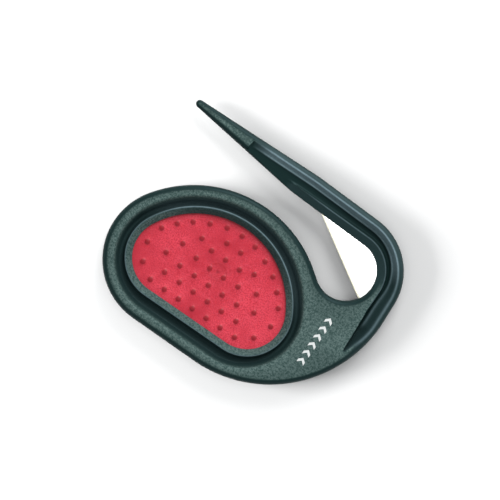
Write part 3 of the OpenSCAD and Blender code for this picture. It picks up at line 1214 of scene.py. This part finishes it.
    def height(self, p: Array) -> Array:
        """Height of the shell's outer face.

        Args:
            p: plan points.

        Returns:
            The heights above the joint plane.
        """
        face = self.face(p)
        near_ring = self.plan.groove.inset(p) > self.groove_wall[0][0] - 0.3
        relief, _ = self.recess(p, face)
        top = np.where(near_ring, self.groove(p, face), relief)
        edge = np.clip(self.plan.body.inset(p), 0, None)
        radius = self.edge_radius(face)
        return np.minimum(top, face - radius * rounded(edge, radius))

    def underside(self, p: Array) -> Array:
        """Height of the shell's back: the joint plane, sunk for the pad's rim and the blade.

        Args:
            p: plan points.

        Returns:
            The heights above the joint plane.
        """
        s, room = self.plan.s, self.pocket_room
        rim = -self.plan.pad.inset(p) < s.pad_rim + room
        own = self.plan.to_blade(p)
        end, depth = self.plan.blade_end + room, self.plan.blade_depth
        across = np.clip(own[:, 1] / depth, 0, 1)
        blade = (own[:, 1] > -room) & (own[:, 1] < depth + room)
        blade &= own[:, 0] < end - s.tail_lean * across
        blade &= own[:, 0] > end - 2 * room - s.blade_l + s.head_lean * across
        pocket = np.where(blade, s.blade_t / 2 + self.blade_room, 0.0)
        return np.where(rim, s.pad_t / 2 + room, pocket)

    def grain_and_lip_shade(self, p: Array, z: Array) -> Array:
        """Where the faces carry the spark texture, with painted shade on the lip's upper side.

        Args:
            p: plan points.
            z: heights above the joint plane.

        Returns:
            1 on textured faces, 0 on satin ones.
        """
        s, body, t = self.plan.s, self.plan.body, self.texture
        x, y = p[:, 0], p[:, 1]
        face = self.face(p)
        _, worked = self.recess(p, face)
        flat = ramp(*t.off_edge, body.inset(p) / self.edge_radius(face) * s.edge_r)
        open_face = ramp(*t.off_groove, -self.plan.groove.inset(p))
        outer_rib = (x > t.rib_start[0]) & (y > t.rib_start[1])
        outer_rib &= body.inset(p, (0, 1, 2)) < s.rib_w + t.rib_room
        rib = np.where(outer_rib, ramp(*t.rib_y, y) * ramp(*t.rib_x, x), 0.0)
        # Painted shade: the lip's texture share, and so its paleness, falls towards the top.
        on_lip = np.clip((t.lip_w + self.plan.pad.inset(p)) / t.lip_fade, 0, 1)
        lip = on_lip * (t.lip_share - t.lip_painted_shade * ramp(*t.lip_painted_light_y, y))
        return np.maximum(flat * open_face * (1 - worked) * (1 - rib), lip) * self.outward(z)

    def outward(self, z: Array) -> Array:
        """1 on the outer face, 0 in the joint."""
        return (np.abs(z) > self.texture.joint_z).astype(float)

    def painted_highlight(self, p: Array, z: Array) -> Array:
        """Where the satin is painted paler: painted highlights on the crests of the ribs and of the lip.

        Args:
            p: plan points.
            z: heights above the joint plane.

        Returns:
            1 on the brightest painted highlight, 0 on satin without painted light.
        """
        s, recess, w = self.plan.s, self.plan.recess, self.painted_sheen
        x, y = p[:, 0], p[:, 1]
        outer = recess.inset(p, (0, 1, 2, 3)) * self.slope_scale(p)
        back = ramp(*self.back_x, x) * (1 - ramp(*w.low_y, y))

        def highlighted(shares: Pair) -> Array:
            """Share of painted highlight, less on the hook's back."""
            return shares[0] - shares[1] * back

        # Painted highlights and painted reflection on the outer rib: its slope, side, crest and bead.
        shelf = np.clip((w.shelf_end[0] - outer) / w.shelf_end[1], 0, 1) * (outer > 0) * highlighted(w.shelf)
        side = np.clip((outer + w.side_end[0]) / w.side_end[1], 0, 1) * (outer <= 0) * highlighted(w.side)
        crest = bell(outer, *w.crest_at) * highlighted(w.crest) * ramp(*w.crest_y, y)
        bead = bell(outer, *w.bead_at) * (w.bead[0] + w.bead[1] * back)
        bead *= 1 - back * ramp(*w.bead_y, y)
        painted_light = np.where(np.abs(outer) < w.reach, shelf + side + crest + bead, 0.0)
        painted_light = painted_light * ramp(*w.rib_x, x)
        # Painted highlight along the inner rib's crest.
        inner = recess.inset(p, (5, 6))
        start, end = w.inner_x
        line = bell(inner, *w.inner_at) * w.inner * ramp(self.rib_x + start, self.rib_x + end, x)
        painted_light = np.maximum(painted_light, np.where(recess.inset(p) > -w.inner_past, line, 0.0))
        beside = (inner < 0) & (inner > -s.inner_rib_w - self.rib_reach) & (x > self.rib_x)
        painted_light = np.maximum(painted_light, np.where(beside, w.rib_top * ramp(*w.rib_top_y, y), 0.0))
        # Painted highlight along the lip's crest, and painted light in the groove, both stronger towards the
        # top.
        off_pad = -self.plan.pad.inset(p)
        lip = bell(off_pad, *w.lip_at) * (w.lip[0] + w.lip[1] * ramp(*w.lip_painted_light_y, y))
        groove = ramp(*w.groove_start, off_pad) * ramp(*w.groove_end, self.plan.groove.inset(p))
        groove *= w.groove[0] + w.groove[1] * ramp(*w.groove_y, y)
        return np.clip(np.maximum.reduce([painted_light, lip, groove]), 0, 1) * self.outward(z)

    def _lines(self) -> list[Array]:
        """Lines of the face that triangles must follow.

        Returns:
            The lines in plan.
        """
        s, body, recess = self.plan.s, self.plan.body, self.plan.recess
        lines: list[Array] = []

        def clear(p: Array) -> Array:
            """Points inside the body, clear of its edge."""
            return body.inset(p) > 0.04

        def off_edge(p: Array) -> Array:
            """Points inside the body, well clear of its edge."""
            return body.inset(p) > 0.3

        def beside_rounding(p: Array) -> Array:
            """Points of the plain face that lie along the outer rounding."""
            return (body.inset(p) > s.edge_r) & (recess.inset(p) < -0.4) & (p[:, 0] > -40)

        def keep(line: Array, where: Callable[[Array], Array]) -> None:
            """Adds the stretches of a closed line that lie where they should."""
            lines.extend(clipped(line, where(line), True))

        points, normals = body.stations()
        radius = self.edge_radius(self.face(points))
        for turn in self.edge_turns:
            inset = (1 - math.cos(math.radians(turn))) * radius
            line = points - normals * inset[:, None]
            lines.extend(clipped(line, body.inset(line) > 0.8 * inset, True))
        keep(body.loop(s.edge_r + 0.15), beside_rounding)
        for off in self.lip_lines:
            keep(self.plan.pad.loop(-off), clear)
        for inset in self.groove_wall[0]:
            keep(self.plan.groove.loop(inset), clear)
        for inset in self.crest_lines:
            keep(recess.loop(inset, gap=1.5), off_edge)
        rib, out = recess.stations(2.0, 1.5)
        on_outer = np.abs(recess.inset(rib, (1, 2, 3))) < TINY
        on_outer &= (rib[:, 1] > 6) & (rib[:, 0] > -15.4)
        scale = self.slope_scale(rib)[:, None]
        for reach in self.slope_lines:
            line = rib - out * reach / scale
            lines.extend(clipped(line, on_outer & (recess.inset(line, (5, 6, 7)) > 0.4), True))
        return lines

    def _under(self, rims: Sequence[Array]) -> Sheet:
        """Triangulates the shell's back, with steps at the pad's rim and the blade's pocket.

        Args:
            rims: outline of the back and of the pad's window.

        Returns:
            The triangles.
        """
        plan = self.plan
        steps = [plan.pad.loop(-plan.s.pad_rim - off) for off in (0.04, 0.06)]
        lines = [np.vstack([loop, loop[:1]]) for loop in steps]
        corners = plan.blade_corners()
        spokes = corners - corners.mean(0)
        for grow in (0.03, 0.06):
            ring = corners + spokes / np.linalg.norm(spokes, axis=1)[:, None] * grow
            cuts = np.linspace(0, 1, 40)[:-1, None]
            fine = np.vstack([a + (b - a) * cuts for a, b in zip(ring, np.roll(ring, -1, 0))])
            lines += clipped(fine, plan.body.inset(fine) > self.seam + 0.05, True)
        return triangulate(rims, lines)

    def build(self) -> list[bpy.types.Object]:
        """Builds both shells.

        Returns:
            The front shell and the rear shell.
        """
        plan = self.plan
        s = plan.s
        rims = [plan.body.loop(self.skin), plan.pad.loop()]
        face = triangulate(rims, self._lines())
        under = self._under([plan.body.loop(self.seam), plan.pad.loop()])
        pieces: list[bpy.types.Object] = []
        for side, name in ((Side.FRONT, "front_shell_moulding"), (Side.REAR, "rear_shell_moulding")):
            solid = Solid(plan.middle, s.half_t)
            top = solid.cover(face, self.height, True)
            low = solid.cover(under, self.underside, False)
            outline = rims[0]
            base = np.maximum(0.15, self.underside(outline) + 0.02)
            first = solid.add(outline, base)
            middle = list(range(first, first + len(outline)))
            solid.wall(low[0], middle)
            solid.wall(middle, top[0])
            solid.wall(low[1][::-1], top[1][::-1])
            piece = solid.build(name, side)
            p, z = solid.plan_of(piece)
            paint(piece, "grain_and_lip_shade", self.grain_and_lip_shade(p, z))
            paint(piece, "painted_highlight", self.painted_highlight(p, z))
            dress(piece, MouldedPlastic(name + "_plastic").material())
            log.info("%s: %d faces", name, len(piece.data.polygons))
            pieces.append(piece)
        return pieces


# ---------------------------------------------------------------- pad


@dataclass
class GripPad:
    """Soft sheet with a dished middle, nubs on both faces and a rim clamped by the shells."""

    plan: Plan
    dish: float = 0.30
    outer_nubs: tuple[tuple[float, float], ...] = (
        (0, -14.5), (6.3, -14.5), (12.6, -14.5), (19, -14.4), (25, -10.5), (27.8, -3.5),
        (26.3, 3.7), (22.5, 8.3), (18, 12.2), (12.4, 15.2), (6.3, 17.6), (0, 18.2),
    )
    middle_nubs: tuple[tuple[float, float], ...] = (
        (3.2, -9.2), (9.5, -9.2), (16.1, -9.2), (19.8, -2.8), (16.6, 3.4), (11.8, 9), (3.1, 12.8),
    )
    inner_nubs: tuple[tuple[float, float], ...] = (
        (0, -4), (6.3, -4), (12.8, -4), (9.4, 1.8), (6.3, 7.3), (0, 7.4), (3.1, 1.5),
    )
    dish_w: float = 12.0
    nub_foot: float = 0.10
    nub_fillet: float = 0.35
    nub_fade: Pair = (0.60, 1.22)
    nub_clear: float = 1.7
    nub_rings: tuple[float, ...] = (0.3, 0.55, 0.75, 0.9, 0.98, 1.0, 1.12, 1.32)
    dish_lines: tuple[float, ...] = (0.05, 2, 4.5, 7.5, 10.5, 13)
    gate: tuple[float, float] = (0.0, 2.0)
    gate_r: float = 3.3
    gate_rise: float = 0.05
    gate_rim_w: float = 0.22
    gate_pit: float = 0.06
    gate_pit_w: float = 0.5
    gate_dark: Pair = (0.70, 0.30)
    gate_dark_w: float = 0.7
    gate_tint: float = 0.16
    gate_tint_fade: Pair = (-0.6, 0.4)
    # Painted shadow of the lip along the pad's rim, stronger towards the top.
    painted_lip_shadow: float = 0.50
    painted_lip_shadow_w: float = 1.9
    painted_lip_shadow_y: Pair = (-14.0, 6.0)
    gate_rings: tuple[float, ...] = (0.3, 0.6, 1.0, 2.9, 3.1, 3.3, 3.5, 3.7)

    def nubs(self) -> Array:
        """Centres of every nub, in plan."""
        half = self.outer_nubs + self.middle_nubs + self.inner_nubs
        return np.array([(side * x, y) for x, y in half for side in ((1,) if x == 0 else (-1, 1))], float)

    def from_nub(self, p: Array) -> Array:
        """Distance from each point to the middle of the nearest nub."""
        return np.min(np.hypot(*(p[:, None, :] - self.nubs()[None]).transpose(2, 0, 1)), axis=1)

    def from_gate(self, p: Array) -> Array:
        """Distance from each point to the middle of the moulding's gate."""
        return np.hypot(p[:, 0] - self.gate[0], p[:, 1] - self.gate[1])

    def height(self, p: Array) -> Array:
        """Height of the pad's upper face.

        Args:
            p: plan points.

        Returns:
            The heights above the joint plane.
        """
        s = self.plan.s
        inset = np.clip(self.plan.pad.inset(p), 0, None)
        z = s.pad_t / 2 - self.dish * ramp(0.0, self.dish_w, inset)
        from_nub, r = self.from_nub(p), s.nub_d / 2
        dome = np.sqrt(np.clip(1 - (from_nub / r) ** 2, 0, 1))
        foot = self.nub_foot * ramp(0, 1, 1 - (from_nub - r) / self.nub_fillet) * (from_nub >= r)
        nub = self.nub_foot + (s.nub_h - self.nub_foot) * dome
        z = z + np.where(from_nub < r, nub, foot)
        from_gate = self.from_gate(p)
        z = z + self.gate_rise * bell(from_gate, self.gate_r, self.gate_rim_w)
        return z - self.gate_pit * bell(from_gate, 0.0, self.gate_pit_w)

    def underside(self, p: Array) -> Array:
        """Height of the lower face, which mirrors the upper one."""
        return -self.height(p)

    def thick_and_shaded(self, p: Array) -> Array:
        """How deep the colour is, from the thickness of the elastomer and from a painted shadow of the lip
        along the rim.

        Args:
            p: plan points.

        Returns:
            1 where the red is deepest, 0 on the open sheet.
        """
        r = self.plan.s.nub_d / 2
        from_gate = self.from_gate(p)
        pit, rim = self.gate_dark
        gate = pit * bell(from_gate, 0.0, self.gate_dark_w)
        gate = gate + rim * bell(from_gate, self.gate_r, self.gate_dark_w)
        inner, outer = self.gate_tint_fade
        gate += self.gate_tint * (1 - ramp(self.gate_r + inner, self.gate_r + outer, from_gate))
        inset = np.clip(self.plan.pad.inset(p), 0, None)
        # Painted shadow: the pad is darkened along its rim, more towards the top, where the lip shades it.
        edge = self.painted_lip_shadow * bell(inset, 0.0, self.painted_lip_shadow_w) * ramp(*self.painted_lip_shadow_y, p[:, 1])
        near, far = self.nub_fade
        nub = 1 - ramp(near * r, far * r, self.from_nub(p))
        return np.clip(np.maximum.reduce([nub, gate, edge]), 0, 1)

    def build(self) -> bpy.types.Object:
        """Builds the pad, with triangles that follow the nubs, the gate and the dish.

        Returns:
            The dressed pad.
        """
        plan, s = self.plan, self.plan.s
        rim = plan.pad.loop(-s.pad_rim)
        loops = [plan.pad.loop(inset) for inset in self.dish_lines]
        lines = [np.vstack([loop, loop[:1]]) for loop in loops]
        lines = [line for line in lines if plan.pad.inset(line).min() > 0]
        circle = ring_of(24, closed=True)
        r = s.nub_d / 2
        centres = self.nubs()
        rings: list[Array] = []
        for centre in centres:
            rings += [centre + circle * reach * r for reach in self.nub_rings]
        rings += [np.array(self.gate) + circle * reach for reach in self.gate_rings]
        kept: list[Array] = []
        for line in lines:
            kept += clipped(line, self.from_nub(line) > self.nub_clear * r, False)

        sheet = triangulate([rim], kept + rings, centres)
        solid = Solid(plan.middle, s.half_t)
        top = solid.cover(sheet, self.height, True)
        low = solid.cover(sheet, self.underside, False)
        solid.wall(low[0], top[0])
        pad = solid.build("grip_pad_sheet", sharp=60.0)
        p, _ = solid.plan_of(pad)
        paint(pad, "thick_and_shaded", self.thick_and_shaded(p))
        dress(pad, SoftElastomer().material())
        log.info("grip_pad_sheet: %d nubs a face", len(centres))
        return pad


# ---------------------------------------------------------------- blade


@dataclass
class CuttingBlade:
    """Steel blade: a tapered strip with a ground and honed edge and two holes for its pegs."""

    plan: Plan
    ground_w: float = 0.8
    honed_w: float = 0.22
    honed_half: float = 0.10
    edge_t: float = 0.03
    hole_r: float = 0.95
    holes: tuple[Pair, Pair] = ((27.0, 3.6), (6.6, 2.0))  # in from the tail, in from the back

    def height(self, p: Array) -> Array:
        """Half thickness of the blade, thinning to its edge.

        Args:
            p: plan points.

        Returns:
            The heights above the joint plane.
        """
        across = self.plan.to_blade(p)[:, 1]
        half = self.plan.s.blade_t / 2
        widths, halves = (0.0, self.honed_w, self.ground_w), (self.edge_t / 2, self.honed_half, half)
        return np.interp(across, widths, halves)

    def underside(self, p: Array) -> Array:
        """Height of the lower face, which mirrors the upper one."""
        return -self.height(p)

    def row(self, across: float) -> list[list[float]]:
        """Both ends of a line along the blade.

        Args:
            across: how far the line lies from the cutting edge.

        Returns:
            The hook's end and the tail's end, in the blade's own axes.
        """
        s, tail, depth = self.plan.s, self.plan.blade_end, self.plan.blade_depth
        left = tail - s.blade_l + s.head_lean * across / depth
        right = tail - s.tail_lean * across / depth
        return [[left, across], [right, across]]

    def build(self) -> bpy.types.Object:
        """Builds the blade.

        Returns:
            The dressed blade.
        """
        plan, s = self.plan, self.plan.s
        tail, depth = plan.blade_end, plan.blade_depth
        corners = plan.to_blade(plan.blade_corners())
        centres = np.array([[tail - along, depth - across] for along, across in self.holes])
        holes = [centre + self.hole_r * ring_of(32) for centre in centres]
        rows = [self.row(across) for across in (self.honed_w, self.ground_w, self.ground_w + 0.05)]
        ends = [row[1] for row in rows]
        starts = [row[0] for row in rows[::-1]]
        outline = np.array([corners[0], corners[1], *ends, corners[2], corners[3], *starts])
        lines = [np.array(row) for row in rows]

        rims = [plan.from_blade(outline)] + [plan.from_blade(hole) for hole in holes]
        sheet = triangulate(rims, [plan.from_blade(line) for line in lines])
        solid = Solid(plan.middle, s.half_t)
        top = solid.cover(sheet, self.height, True)
        low = solid.cover(sheet, self.underside, False)
        solid.wall(low[0], top[0])
        for lower, upper in zip(low[1:], top[1:]):
            solid.wall(lower[::-1], upper[::-1])
        blade = solid.build("cutting_blade_steel", sharp=2.0)
        p, _ = solid.plan_of(blade)
        paint(blade, "ground", (plan.to_blade(p)[:, 1] < self.ground_w + 0.01).astype(float))
        dress(blade, GroundSteel().material())
        log.info("cutting_blade_steel: %.0f mm edge", s.blade_l)
        return blade


# ---------------------------------------------------------------- printed mark


@dataclass
class PrintedMark:
    """Row of plain chevrons in white ink on the web, pointing to the blade."""

    plan: Plan
    x: float = 44.35
    low_y: float = -8.6
    pitch: float = 3.55
    count: int = 6
    width: float = 2.9
    rise: float = 1.25
    stroke: float = 1.2
    film: float = 0.012
    root: float = 0.02

    def chevron(self, y: float) -> Array:
        """Outline of one chevron.

        Args:
            y: height in plan at which its feet stand.

        Returns:
            The six corners, in order.
        """
        half, rise, stroke = self.width / 2, self.rise, self.stroke
        offsets = ((-half, 0.0), (0.0, rise), (half, 0.0))
        lower = [[self.x + dx, y + dy] for dx, dy in offsets]
        upper = [[self.x + dx, y + dy + stroke] for dx, dy in offsets[::-1]]
        return np.array(lower + upper)

    def build(self) -> bpy.types.Object:
        """Builds the mark as one thin film of separate chevrons.

        Returns:
            The dressed mark.
        """
        solid = Solid(self.plan.middle, self.plan.s.half_t)
        face = self.plan.s.half_t - self.plan.s.print_room
        for k in range(self.count):
            outline = self.chevron(self.low_y + self.pitch * k)
            low = solid.add(outline, np.full(6, face - self.root))
            top = solid.add(outline, np.full(6, face + self.film))
            for a, b, c, d in ((0, 1, 4, 5), (1, 2, 3, 4)):
                solid.faces.append((top + a, top + b, top + c, top + d))
                solid.faces.append((low + d, low + c, low + b, low + a))
            solid.wall([low + i for i in range(6)], [top + i for i in range(6)])
        mark = solid.build("printed_mark")
        dress(mark, PrintedInk().material())
        log.info("printed_mark: %d chevrons", self.count)
        return mark


# ---------------------------------------------------------------- studio


@dataclass
class Studio:
    """Plain pale floor, soft lights and the camera over the tool."""

    plan: Plan
    roll: float = 34.6
    centre: tuple[float, float] = (5.34, 15.5)
    view_w: float = 185.2
    distance: float = 1.1
    sensor: float = 36.0
    floor_half: float = 3.0
    floor_drop: float = 0.00005
    floor_colour: Colour = (0.5, 0.5, 0.5)
    floor_roughness: float = 0.9
    sky_colour: Colour = (0.96, 0.985, 1.0)
    sky_heights: tuple[float, float] = (0.1, 0.95)
    sky_strengths: tuple[float, float] = (1.0, 0.34)

    def _place(self, x: float, y: float) -> tuple[float, float]:
        """Plan point in the frame, in metres."""
        return (x - self.plan.middle[0]) * MM, (y - self.plan.middle[1]) * MM

    def camera(self) -> None:
        """Sets the camera straight over the tool, turned so that the probe points up and left."""
        data = bpy.data.cameras.new("camera")
        data.sensor_width = self.sensor
        data.lens = self.sensor * self.distance / (self.view_w * MM)
        data.clip_start, data.clip_end = 0.01, 20.0
        camera = bpy.data.objects.new("camera", data)
        x, y = self._place(*self.centre)
        camera.location = (x, y, self.distance + self.plan.s.tool_t * MM)
        camera.rotation_euler = (0.0, 0.0, math.radians(self.roll))
        bpy.context.scene.collection.objects.link(camera)
        bpy.context.scene.camera = camera

    def floor(self) -> bpy.types.Object:
        """Lays the floor under the tool.

        Returns:
            The dressed floor.
        """
        mesh = bpy.data.meshes.new("floor")
        half = self.floor_half
        corners = [(-half, -half, 0), (half, -half, 0), (half, half, 0), (-half, half, 0)]
        mesh.from_pydata(corners, [], [(0, 1, 2, 3)])
        floor = bpy.data.objects.new("floor", mesh)
        floor.location = (0, 0, -self.floor_drop)
        bpy.context.scene.collection.objects.link(floor)
        n = Nodes("pale_floor")
        n.shader.inputs["Base Color"].default_value = (*self.floor_colour, 1.0)
        n.shader.inputs["Roughness"].default_value = self.floor_roughness
        n.shader.inputs["Specular IOR Level"].default_value = 0.0
        dress(floor, n.material)
        return floor

    def light(
        self,
        name: str,
        bearing: float,
        rise: float,
        distance: float,
        size: float,
        watts: float,
        only: Optional[bpy.types.Object] = None,
    ) -> None:
        """Adds a soft square light that faces the tool.

        Args:
            name: name of the light.
            bearing: direction in plan that it shines from, in degrees from the frame's x axis.
            rise: its height above the floor as an angle, in degrees.
            distance: how far away it stands, in metres.
            size: side of the square, in metres.
            watts: its power.
            only: the one object that it reaches; every object when left out.
        """
        data = bpy.data.lights.new(name, "AREA")
        data.shape, data.size, data.energy = "SQUARE", size, watts
        lamp = bpy.data.objects.new(name, data)
        a, b = math.radians(bearing), math.radians(rise)
        away = Vector((math.cos(a) * math.cos(b), math.sin(a) * math.cos(b), math.sin(b)))
        lamp.location = away * distance
        lamp.rotation_euler = away.to_track_quat("Z", "Y").to_euler()
        bpy.context.scene.collection.objects.link(lamp)
        if only is not None:
            reached = bpy.data.collections.new(name + "_reach")
            reached.objects.link(only)
            lamp.light_linking.receiver_collection = reached

    def world(self) -> None:
        """Sets a sky that is bright low down and dim overhead."""
        world = bpy.data.worlds.new("studio")
        bpy.context.scene.world = world
        world.use_nodes = True
        tree = world.node_tree
        back = tree.nodes["Background"]
        place = tree.nodes.new("ShaderNodeTexCoord")
        split = tree.nodes.new("ShaderNodeSeparateXYZ")
        spread = tree.nodes.new("ShaderNodeMapRange")
        tree.links.new(place.outputs["Generated"], split.inputs[0])
        tree.links.new(split.outputs["Z"], spread.inputs["Value"])
        low, high = self.sky_heights
        spread.inputs["From Min"].default_value = low
        spread.inputs["From Max"].default_value = high
        bright, dim = self.sky_strengths
        spread.inputs["To Min"].default_value = bright
        spread.inputs["To Max"].default_value = dim
        tree.links.new(spread.outputs["Result"], back.inputs["Strength"])
        back.inputs["Color"].default_value = (*self.sky_colour, 1.0)

    def build(self, blade: bpy.types.Object) -> None:
        """Builds the whole studio.

        Args:
            blade: the blade, which has a card of its own overhead to keep it bright.
        """
        scene = bpy.context.scene
        scene.view_settings.view_transform = "Standard"
        self.camera()
        floor = self.floor()
        self.world()
        self.light("key", 180 + self.roll, 28.0, 1.0, 0.5, 20.0, floor)
        self.light("wash", 0.0, 90.0, 1.5, 1.0, 12.0, floor)
        self.light("strip", 90 + 8.0, 38.0, 0.9, 0.5, 7.0)
        self.light("card", 0.0, 90.0, 1.6, 1.0, 30.0, blade)


# ---------------------------------------------------------------- assembly


def seat(piece: bpy.types.Object, node: Optional[str]) -> None:
    """Lets a piece ride on the tool and stand for its CAD node.

    Args:
        piece: the piece.
        node: CAD node that it replaces, if any.
    """
    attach(piece, "root")
    if node is not None:
        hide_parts(node)


def main() -> None:
    """Builds the cutter and its studio."""
    logging.basicConfig(level=logging.INFO, format="%(name)s %(message)s")
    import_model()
    plan = Plan(ToolSizes())
    front, rear = ShellPair(plan).build()
    seat(front, "front_shell")
    seat(rear, "rear_shell")
    pad = GripPad(plan).build()
    seat(pad, "grip_pad")
    blade = CuttingBlade(plan).build()
    seat(blade, "cutting_blade")
    seat(PrintedMark(plan).build(), None)
    Studio(plan).build(blade)


if __name__ == "__main__":
    main()
